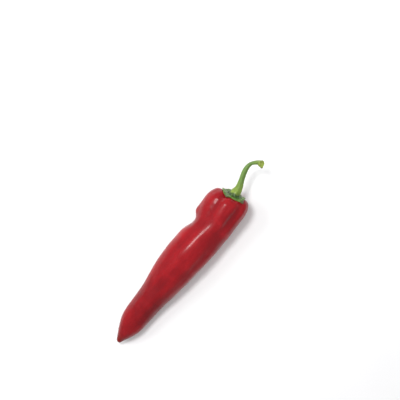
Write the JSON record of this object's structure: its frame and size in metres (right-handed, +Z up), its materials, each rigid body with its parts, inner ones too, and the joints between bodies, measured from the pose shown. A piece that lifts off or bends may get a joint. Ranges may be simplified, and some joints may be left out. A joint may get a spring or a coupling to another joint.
{
  "type": "pointed sweet pepper",
  "caption": "Long pointed sweet pepper lying on its side: a lobed head tapering to a blunt tip, and a curved stalk with a toothed cap.",
  "frame": {"origin": "on the surface it lies on, under the middle of its box", "axes": "+X along the pepper from the pointed tip to the stalk, +Z up from the surface, +Y to the side that the neck's notch is on"},
  "size_m": [0.2432, 0.047, 0.0443],
  "materials": {
    "skin": "deep red waxy skin, glossy",
    "stalk": "fresh green stem, satin"
  },
  "bodies": {
    "root": {"fruit": "skin", "stalk": "stalk"}
  },
  "joints": []
}
